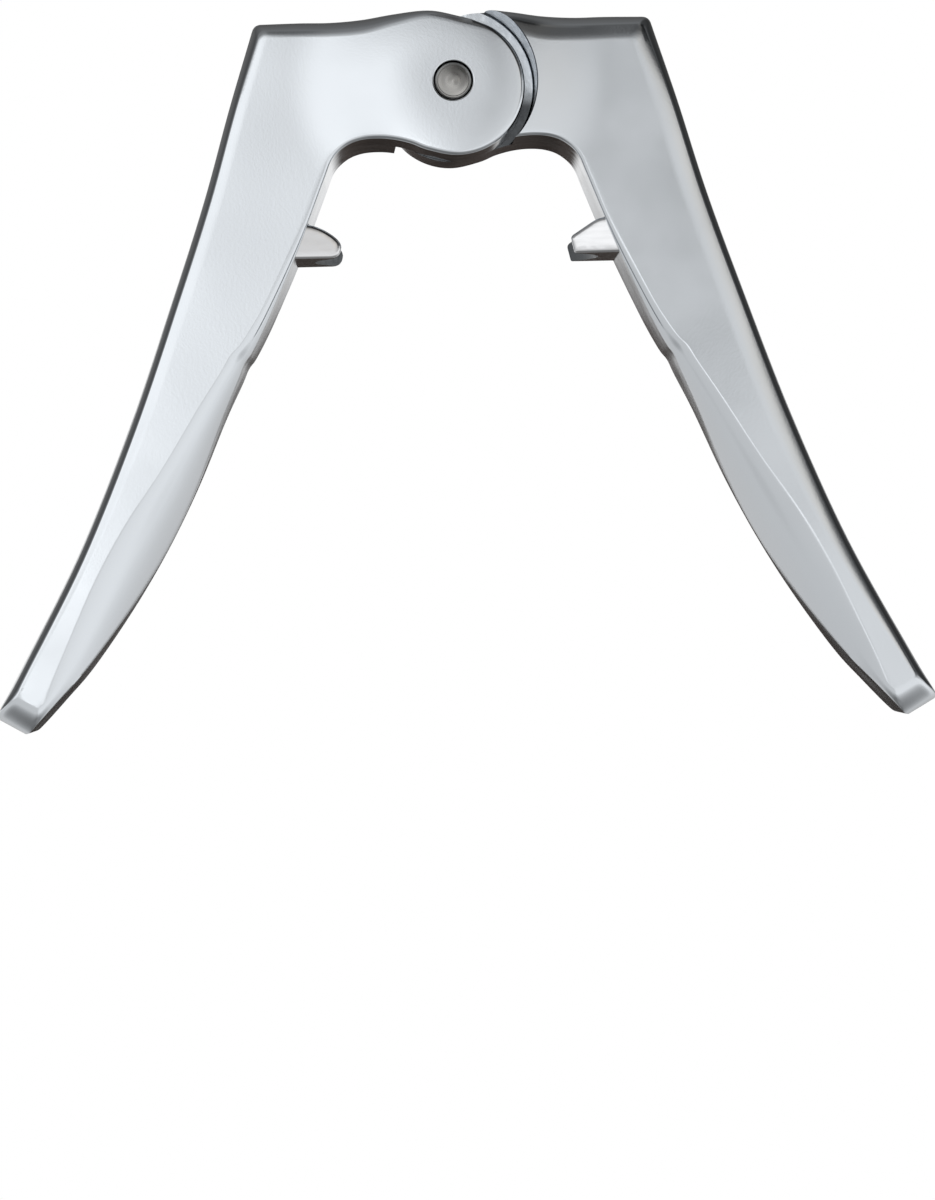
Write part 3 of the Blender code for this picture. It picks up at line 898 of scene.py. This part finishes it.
def bright_chrome(name, base, roughness):
    """Buffed chrome on the claws: a clear mirror with the faintest orange peel and a few hairlines."""
    material, tree, shader, places = new_material(name, 1.0)
    peel = patchy(tree, places, spacing=2.5 * MM)
    hairlines = add_node(
        tree,
        "ShaderNodeMapping",
        values={"Scale": HAIRLINE_STRETCH},
        links={"Vector": places},
    )
    lines = patchy(tree, hairlines.outputs["Vector"], spacing=0.35 * MM)
    tree.links.new(tinted(tree, peel, base, darker=0.98), shader.inputs["Base Color"])
    blurred(tree, shader, lines, least=roughness - 0.02, most=roughness + 0.05)
    tree.links.new(bump(tree, peel, distance=0.01 * MM), shader.inputs["Normal"])
    return material


def turned_steel(name, base):
    """Stainless steel from the lathe: a clean grey that shines across its marks, with faint broad rings."""
    material, tree, shader, places = new_material(name, 1.0)
    centred = add_node(
        tree,
        "ShaderNodeMapping",
        values={"Location": (0, 0, -HINGE_HEIGHT)},
        links={"Vector": places},
    )
    rings = add_node(
        tree,
        "ShaderNodeTexWave",
        {"wave_type": "RINGS", "rings_direction": "Y", "wave_profile": "SIN"},
        {"Scale": TOOL_MARK_SCALE, "Distortion": 0.6, "Detail": 2.0},
        {"Vector": centred.outputs["Vector"]},
    )
    spread = patchy(tree, places, spacing=1.2 * MM)
    tree.links.new(tinted(tree, spread, base, darker=0.93), shader.inputs["Base Color"])
    blurred(tree, shader, rings.outputs["Fac"], least=0.26, most=0.36)
    shader.inputs["Anisotropic"].default_value = 0.9
    around = add_node(tree, "ShaderNodeTangent", {"direction_type": "RADIAL", "axis": "Y"})
    tree.links.new(around.outputs["Tangent"], shader.inputs["Tangent"])
    tree.links.new(bump(tree, spread, distance=0.004 * MM), shader.inputs["Normal"])
    return material


def spring_steel(name, base):
    """Tempered spring strip: rolled smooth, faintly straw-coloured and oiled."""
    material, tree, shader, places = new_material(name, 1.0)
    temper = patchy(tree, places, spacing=2 * MM)
    tree.links.new(tinted(tree, temper, base, darker=0.85), shader.inputs["Base Color"])
    blurred(tree, shader, temper, least=0.22, most=0.36)
    return material


def bearing_bronze(name, base):
    """Sintered bronze: a warm dull metal with small dark pores that hold its oil."""
    material, tree, shader, places = new_material(name, 1.0)
    pores = add_node(
        tree,
        "ShaderNodeTexVoronoi",
        values={"Scale": 1 / PORE_SPACING},
        links={"Vector": places},
    )
    depth = add_node(
        tree,
        "ShaderNodeMapRange",
        values={"From Min": 0.05, "From Max": 0.3},
        links={"Value": pores.outputs["Distance"]},
    )
    tree.links.new(tinted(tree, depth.outputs["Result"], base, darker=0.45), shader.inputs["Base Color"])
    shader.inputs["Roughness"].default_value = 0.42
    tree.links.new(bump(tree, depth.outputs["Result"], distance=0.01 * MM), shader.inputs["Normal"])
    return material


def moulded_nylon(name, base):
    """Moulded nylon: a milky white with a waxy skin and a faint mottle."""
    material, tree, shader, places = new_material(name, 0.0)
    mottle = patchy(tree, places, spacing=1.5 * MM)
    tree.links.new(tinted(tree, mottle, base, darker=0.94), shader.inputs["Base Color"])
    shader.inputs["Roughness"].default_value = 0.45
    shader.inputs["IOR"].default_value = 1.53
    tree.links.new(bump(tree, mottle, distance=0.006 * MM), shader.inputs["Normal"])
    return material


# Pieces


class AddLevers(Operator):
    """Add the two cast levers, each with its lug, shoulder, bore and claw slot"""

    bl_idname = "opener.add_levers"
    bl_label = "Levers"

    def execute(self, context):
        settings = context.scene.opener
        finishes = settings.finishes
        cast = cast_chrome("cast_chrome", finishes.cast_plating)
        satin = satin_chrome("satin_chrome", finishes.plating, finishes.satin_roughness)
        smooth = mould_smooth_chrome("mould_smooth_chrome", finishes.plating)
        for name, mirrored, bore in (
            ("left_lever", True, left_bore(settings)),
            ("right_lever", False, right_bore(settings)),
        ):
            place = side_place(mirrored)
            stations = lever_stations(settings.lever, name.split("_")[0])
            rings = outline_rings(stations, HALF_DEPTH, polish_lever)
            body = loft(f"cast_{name}", rings, place)
            body.data.materials.append(satin)
            body.data.materials.append(smooth)
            smooth_arch(body, settings.lever)
            shoulder = loft("shoulder_cut", turned_rings(shoulder_profile(settings.lever)), place)
            shoulder.data.materials.append(cast)
            take_out(body, shoulder)
            hole = loft("bore_cut", turned_rings(bore), place)
            hole.data.materials.append(satin)
            take_out(body, hole)
            slot = claw_slot(settings.claw, place)
            slot.data.materials.append(satin)
            take_out(body, slot)
            finish_piece(body, name.replace("lever", "side"), "satin_chrome", name)
        return {"FINISHED"}


def smooth_arch(body, sizes):
    """Give the arch's wall, which no wheel or blasting nozzle reaches, the second material."""
    for face in body.data.polygons:
        out, up = abs(face.center.x), face.center.z - HINGE_HEIGHT
        in_arch = -ARCH_DROP_SHARE * sizes.head_rise < up < 0 and out < ARCH_REACH_SHARE * sizes.head_reach
        if in_arch and abs(face.normal.y) < WALL_FACING:
            face.material_index = 1


def shoulder_profile(sizes):
    """The space in front of the lap for the other lever's lug, flared where it leaves the face."""
    off_centre = math.hypot(sizes.lug_shift, sizes.lug_drop)
    radius = sizes.lug_radius + off_centre + sizes.shoulder_gap
    flare, fillet = 2 * sizes.shoulder_flare, sizes.shoulder_fillet
    lap = sizes.lap_gap / 2
    profile = [(radius + sizes.shoulder_flare + CUT_OVERRUN, -HALF_DEPTH - CUT_OVERRUN)]
    for step in range(FLARE_STEPS + 1):
        turn = FLARE_START + (math.pi / 2 - FLARE_START) * step / FLARE_STEPS
        depth = flare * (FLARE_DEPTH_SHARE - math.cos(turn))
        profile.append((radius + flare * (1 - math.sin(turn)), -HALF_DEPTH + depth))
    for step in range(FILLET_STEPS + 1):
        turn = math.pi / 2 * step / FILLET_STEPS
        inner = radius - sizes.shoulder_draft - fillet * (1 - math.cos(turn))
        profile.append((inner, lap - fillet * (1 - math.sin(turn))))
    return profile


def left_bore(settings):
    """The left lug's bore: the washers' seat on the lap, and a plain chamfered hole to the face."""
    sizes = settings.pin
    seat = sizes.washer_radius + sizes.fit
    hole, chamfer = sizes.hole_radius, sizes.hole_chamfer
    return (
        (seat, -CUT_OVERRUN),
        (seat, sizes.washer_seat),
        (hole, sizes.washer_seat),
        (hole, HALF_DEPTH - chamfer),
        (hole + HOLE_KNEE_OUT_SHARE * chamfer, HALF_DEPTH - HOLE_KNEE_DEPTH_SHARE * chamfer),
        (hole + chamfer, HALF_DEPTH),
        (hole + chamfer + CUT_OVERRUN, HALF_DEPTH + CUT_OVERRUN),
    )


def right_bore(settings):
    """The right lug's bore: the washers' seat on the lap, the bush's hole, and a seat for the pin's head."""
    sizes = settings.pin
    seat = sizes.washer_radius + sizes.fit
    hole = sizes.bush_radius + sizes.fit
    head = sizes.head_radius + HEAD_SEAT_FIT
    head_base = PIN_HIGH.y - sizes.head_depth - sizes.fit
    return (
        (seat, -CUT_OVERRUN),
        (seat, sizes.washer_seat),
        (hole, sizes.washer_seat),
        (hole, head_base),
        (head, head_base),
        (head, HALF_DEPTH - sizes.hole_chamfer),
        (head + sizes.hole_chamfer, HALF_DEPTH),
        (head + sizes.hole_chamfer + CUT_OVERRUN, HALF_DEPTH + CUT_OVERRUN),
    )


def claw_slot(sizes, place):
    """The slot that the claw's tenon is pressed into, a hair wider than the claw."""
    fit = sizes.fit
    half = CLAW_HIGH.y + fit
    outline = (
        (CLAW_ROOT + fit, CLAW_TOP + fit),
        (CLAW_NOSE, CLAW_TOP + fit),
        (CLAW_NOSE, CLAW_BASE - fit),
        (CLAW_ROOT + fit, CLAW_BASE - fit),
    )
    rings = [[Vector((out, along, up)) for out, up in outline] for along in (-half, half)]
    taper_rings(rings, sizes.taper, half)
    return loft("slot_cut", rings, place)


def taper_rings(rings, taper, half):
    """Lean a claw's side faces in from its tenon's end to its nose, both faces kept flat."""
    for ring in rings:
        for point in ring:
            point.y *= 1 - (CLAW_ROOT - point.x) * math.tan(taper) / half


def claw_stations(sizes, nose):
    """The claw's side outline, anticlockwise from the tenon's top."""
    edge = (sizes.edge, sizes.edge, sizes.strip, sizes.strip_fall)
    corners = (
        (CLAW_ROOT, CLAW_TOP, CLAW_ROOT_CORNER),
        (CLAW_NOSE + sizes.slope, CLAW_TOP, nose + CLAW_SLOPE_CORNER_MORE),
        (CLAW_NOSE, CLAW_BASE + sizes.tip_height, nose),
        (CLAW_NOSE + sizes.undercut, CLAW_BASE, nose * CLAW_LOWER_CORNER_SHARE),
        (CLAW_ROOT, CLAW_BASE, CLAW_ROOT_CORNER),
    )
    return [(Vector((out, 0, up)), edge, edge, radius) for out, up, radius in corners]


class AddClaws(Operator):
    """Add the two bright claws with their hollowed noses and the tenons that sit in the levers"""

    bl_idname = "opener.add_claws"
    bl_label = "Claws"

    def execute(self, context):
        settings = context.scene.opener
        sizes, finishes = settings.claw, settings.finishes
        chrome = bright_chrome("bright_chrome", finishes.claw_plating, finishes.bright_roughness)
        # The hollows lie wholly below the hinge axis, so this chrome comes out painted almost black there, as
        # painted shade.
        rough = cast_chrome("rough_chrome_hollow", finishes.cast_plating)
        for name, mirrored, nose in (
            ("left_claw", True, sizes.left_nose),
            ("right_claw", False, sizes.right_nose),
        ):
            place = side_place(mirrored)
            half = CLAW_HIGH.y
            rings = outline_rings(claw_stations(sizes, nose), half)
            taper_rings(rings, sizes.taper, half)
            body = loft(f"bright_{name}", rings, place)
            body.data.materials.append(chrome)
            bite = bite_cutter(sizes, place)
            bite.data.materials.append(rough)
            take_out(body, bite)
            soften = body.modifiers.new("soften", "BEVEL")
            soften.width = CLAW_SOFTENING
            soften.segments = 3
            soften.limit_method = "ANGLE"
            soften.angle_limit = CLAW_SOFTENING_ANGLE
            apply_modifier(body, soften)
            finish_piece(body, name.replace("claw", "side"), "bright_chrome", name)
        return {"FINISHED"}


def bite_cutter(sizes, place):
    """A round bar that hollows the nose, leaning so that it stands upright when the claw grips."""
    reach = math.sqrt(sizes.bite_radius**2 - (CLAW_HIGH.y - sizes.prong) ** 2)
    middle = Vector((CLAW_NOSE - reach, 0, CLAW_BASE + sizes.tip_height / 2))
    lean = Matrix.Rotation(-sizes.bite_lean, 4, "Y")
    rings = []
    for along in (-BITE_BAR_HALF, BITE_BAR_HALF):
        ring = []
        for step in range(TURN_STEPS):
            turn = 2 * math.pi * step / TURN_STEPS
            out, across = sizes.bite_radius * math.cos(turn), sizes.bite_radius * math.sin(turn)
            ring.append(middle + lean @ Vector((out, across, along)))
        rings.append(ring)
    return loft("bite_cut", rings, place)


def pin_profile(sizes):
    """The pin from its head at the back to its grooved end in front, as (radius, place along Y) pairs."""
    head, back, front = sizes.head_radius, PIN_HIGH.y, PIN_LOW.y
    slope = math.tan(sizes.groove_slope)
    profile = [(PIN_CENTRE, back)]
    pitch = (head - PIN_HEAD_CHAMFER - PIN_CENTRE) / PIN_HEAD_GROOVES
    for step in range(PIN_HEAD_GROOVES):
        radius = PIN_CENTRE + pitch * (step + 0.5)
        profile.append((radius, back - pitch / 2 * slope))
        profile.append((radius + pitch / 2, back))
    profile += [
        (head, back - PIN_HEAD_CHAMFER),
        (head, back - sizes.head_depth + PIN_HEAD_UNDERCHAMFER),
        (head - PIN_HEAD_UNDERCHAMFER, back - sizes.head_depth),
        (sizes.radius, back - sizes.head_depth),
    ]
    for step in range(RIM_STEPS + 1):
        turn = math.pi / 2 * step / RIM_STEPS
        depth = sizes.crown + sizes.rim * (1 - math.sin(turn))
        profile.append((sizes.radius - sizes.rim * (1 - math.cos(turn)), front + depth))
    radius = sizes.radius - sizes.rim
    rise = sizes.groove_pitch / 2 * slope
    while radius > 2 * sizes.groove_pitch:
        for groove in (rise, 0):
            radius -= sizes.groove_pitch / 2
            profile.append((radius, front + groove + sizes.crown * (radius / sizes.radius) ** 2))
    return profile


class AddHingePin(Operator):
    """Add the hinge pin with its rounded, finely grooved end and its sunk head"""

    bl_idname = "opener.add_hinge_pin"
    bl_label = "Hinge pin"

    def execute(self, context):
        settings = context.scene.opener
        rings = turned_rings(pin_profile(settings.pin), PIN_TURN_STEPS)
        body = loft("turned_hinge_pin", rings, side_place(False))
        body.data.materials.append(turned_steel("turned_steel", settings.finishes.pin_steel))
        finish_piece(body, "left_side", "turned_steel", "hinge_pin", smooth=PIN_SMOOTH_ANGLE)
        return {"FINISHED"}


class FinishBearing(Operator):
    """Give the bush, the thrust washers and the wave washer inside the hinge their materials"""

    bl_idname = "opener.finish_bearing"
    bl_label = "Bearing"

    def execute(self, context):
        finishes = context.scene.opener.finishes
        nylon = moulded_nylon("moulded_nylon", finishes.nylon)
        for node, material in (
            ("hinge_bush", bearing_bronze("bearing_bronze", finishes.bronze)),
            ("front_thrust_washer", nylon),
            ("rear_thrust_washer", nylon),
            ("wave_washer", spring_steel("spring_steel", finishes.spring_steel)),
        ):
            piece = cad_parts[node]
            piece.data.materials.clear()
            piece.data.materials.append(material)
        return {"FINISHED"}


# Stage


class AddStage(Operator):
    """Add the pale floor, the soft studio light and the camera"""

    bl_idname = "opener.add_stage"
    bl_label = "Stage"

    def execute(self, context):
        studio = context.scene.opener.studio
        add_camera(context.scene, studio)
        add_floor(studio)
        add_lamps(context.scene, studio)
        add_world(context.scene)
        context.scene.view_settings.view_transform = "Standard"
        return {"FINISHED"}


def add_camera(scene, studio):
    """A long lens, level and a little left of the hinge, with the opener leaning as in the photograph."""
    data = bpy.data.cameras.new("camera")
    data.lens = studio.lens
    data.sensor_width = SENSOR_WIDTH
    camera = bpy.data.objects.new("camera", data)
    scene.collection.objects.link(camera)
    yaw = math.atan((studio.aim_out - studio.camera_out) / studio.distance)
    level = Matrix.Rotation(-yaw, 4, "Z") @ Matrix.Rotation(math.pi / 2, 4, "X")
    turn = level @ Matrix.Rotation(-studio.roll, 4, "Z")
    height = HINGE_HEIGHT - studio.aim_drop
    camera.matrix_world = Matrix.Translation((studio.camera_out, -studio.distance, height)) @ turn
    scene.camera = camera


def add_floor(studio):
    """A pale round floor that keeps the opener's shadow. The metal doesn't see it."""
    bpy.ops.object.select_all(action="DESELECT")
    bpy.ops.mesh.primitive_circle_add(vertices=FLOOR_STEPS, radius=studio.floor_radius, fill_type="NGON")
    floor = bpy.context.object
    floor.name = "floor"
    bpy.ops.object.mode_set(mode="EDIT")
    bpy.ops.mesh.select_all(action="SELECT")
    bpy.ops.transform.translate(value=(0, 0, -studio.floor_drop))
    bpy.ops.mesh.extrude_region_move(TRANSFORM_OT_translate={"value": (0, 0, -FLOOR_THICKNESS)})
    bpy.ops.mesh.select_all(action="SELECT")
    bpy.ops.mesh.normals_make_consistent(inside=False)
    bpy.ops.object.mode_set(mode="OBJECT")
    material, tree, shader, places = new_material("pale_floor", 0.0)
    mottle = patchy(tree, places, spacing=40 * MM)
    tree.links.new(tinted(tree, mottle, studio.floor_colour, darker=0.99), shader.inputs["Base Color"])
    shader.inputs["Roughness"].default_value = 0.8
    shader.inputs["Specular IOR Level"].default_value = 0.1
    floor.data.materials.append(material)
    floor.visible_glossy = False


def add_lamps(scene, studio):
    """Two large soft lamps for the floor and the plain parts. The world is what the metal reflects."""
    for name, power, spot in (
        ("key_lamp", studio.key_power, KEY_LAMP_SPOT),
        ("fill_lamp", studio.fill_power, FILL_LAMP_SPOT),
    ):
        data = bpy.data.lights.new(name, "AREA")
        data.shape = "DISK"
        data.size = studio.lamp_size
        data.energy = power
        lamp = bpy.data.objects.new(name, data)
        scene.collection.objects.link(lamp)
        lamp.location = spot
        lamp.rotation_euler = (-spot).to_track_quat("-Z", "Y").to_euler()
        lamp.visible_glossy = False


def add_world(scene):
    """White for the camera. The metal sees a studio: softboxes in front, a backdrop and a table."""
    world = bpy.data.worlds.new("studio")
    scene.world = world
    world.use_nodes = True
    tree = world.node_tree
    tree.nodes.clear()
    direction = add_node(tree, "ShaderNodeTexCoord")
    parts = add_node(tree, "ShaderNodeSeparateXYZ", links={"Vector": direction.outputs["Generated"]})

    def ramp(part, stops):
        whole = add_node(
            tree,
            "ShaderNodeMapRange",
            values={"From Min": -1.0, "From Max": 1.0},
            links={"Value": parts.outputs[part]},
        )
        node = add_node(tree, "ShaderNodeValToRGB", links={"Fac": whole.outputs["Result"]})
        set_ramp(node, [((place + 1) / 2, shade) for place, shade in stops])
        return node.outputs["Color"]

    def mixed(kind, factor, first, second):
        node = add_node(
            tree,
            "ShaderNodeMix",
            {"data_type": "RGBA", "blend_type": kind},
            {MIX_FACTOR: 1.0},
            {MIX_FIRST: first, MIX_SECOND: second},
        )
        if factor is not None:
            tree.links.new(factor, node.inputs[MIX_FACTOR])
        return node.outputs[MIX_RESULT]

    def opening(centre, spread):
        """A dark opening of the studio: its shade by how far a direction lies from its centre."""
        place = add_node(
            tree,
            "ShaderNodeMapping",
            values={
                "Location": [-middle / reach for middle, reach in zip(centre, spread)],
                "Scale": [1 / reach for reach in spread],
            },
            links={"Vector": direction.outputs["Generated"]},
        )
        away = add_node(
            tree, "ShaderNodeVectorMath", {"operation": "LENGTH"}, links={0: place.outputs["Vector"]}
        )
        node = add_node(tree, "ShaderNodeValToRGB", links={"Fac": away.outputs["Value"]})
        set_ramp(node, OPENING_SHADE)
        return node.outputs["Color"]

    height = mixed("MIX", ramp("X", SOFTBOX_SIDE), ramp("Z", LEFT_SOFTBOX_UP), ramp("Z", RIGHT_SOFTBOX_UP))
    across = mixed("MIX", ramp("Z", LOW_TO_HIGH), ramp("X", SOFTBOXES_LOW), ramp("X", SOFTBOXES_ACROSS))
    softboxes = mixed("MULTIPLY", None, across, height)
    backdrop = mixed("MULTIPLY", None, ramp("X", BACKDROP_ACROSS), ramp("Z", BACKDROP_UP))
    above = mixed("MIX", ramp("Y", BACKDROP_SHARE), softboxes, backdrop)
    table_across = mixed("MIX", ramp("Y", BACKDROP_SHARE), ramp("X", TABLE_FRONT), ramp("X", TABLE_REAR))
    table = mixed("MULTIPLY", None, table_across, ramp("Z", TABLE_DOWN))
    horizon = mixed("MIX", ramp("X", SOFTBOX_SIDE), ramp("Z", LEFT_HORIZON), ramp("Z", RIGHT_HORIZON))
    room = mixed("MIX", horizon, table, above)
    studio = mixed("MULTIPLY", None, room, opening(REAR_OPENING, REAR_OPENING_SPREAD))
    background = add_node(tree, "ShaderNodeBackground", links={"Color": studio})
    white = add_node(tree, "ShaderNodeBackground", values={"Color": (1, 1, 1, 1)})
    rays = add_node(tree, "ShaderNodeLightPath")
    choice = add_node(
        tree,
        "ShaderNodeMixShader",
        links={0: rays.outputs["Is Camera Ray"], 1: background.outputs[0], 2: white.outputs[0]},
    )
    add_node(tree, "ShaderNodeOutputWorld", links={"Surface": choice.outputs[0]})


class OpenerPanel(Panel):
    """The opener's pieces and sizes"""

    bl_idname = "OPENER_PT_pieces"
    bl_label = "Champagne opener"
    bl_space_type = "VIEW_3D"
    bl_region_type = "UI"
    bl_category = "Opener"

    def draw(self, context):
        settings = context.scene.opener
        for operator in OPERATORS:
            self.layout.operator(operator.bl_idname)
        for title, group in (
            ("Levers", settings.lever),
            ("Claws", settings.claw),
            ("Hinge pin", settings.pin),
            ("Finishes", settings.finishes),
            ("Stage", settings.studio),
        ):
            box = self.layout.box()
            box.label(text=title)
            for name in group.__annotations__:
                box.prop(group, name)


GROUPS = (LeverSizes, ClawSizes, PinSizes, Finishes, Studio, OpenerSettings)
OPERATORS = (AddStage, AddLevers, AddClaws, AddHingePin, FinishBearing)


def register():
    for item in (*GROUPS, *OPERATORS, OpenerPanel):
        bpy.utils.register_class(item)
    bpy.types.Scene.opener = PointerProperty(type=OpenerSettings)


def unregister():
    del bpy.types.Scene.opener
    for item in reversed((*GROUPS, *OPERATORS, OpenerPanel)):
        bpy.utils.unregister_class(item)


def main():
    register()
    bpy.ops.opener.add_stage()
    bpy.ops.opener.add_levers()
    bpy.ops.opener.add_claws()
    bpy.ops.opener.add_hinge_pin()
    bpy.ops.opener.finish_bearing()


if __name__ == "__main__":
    main()
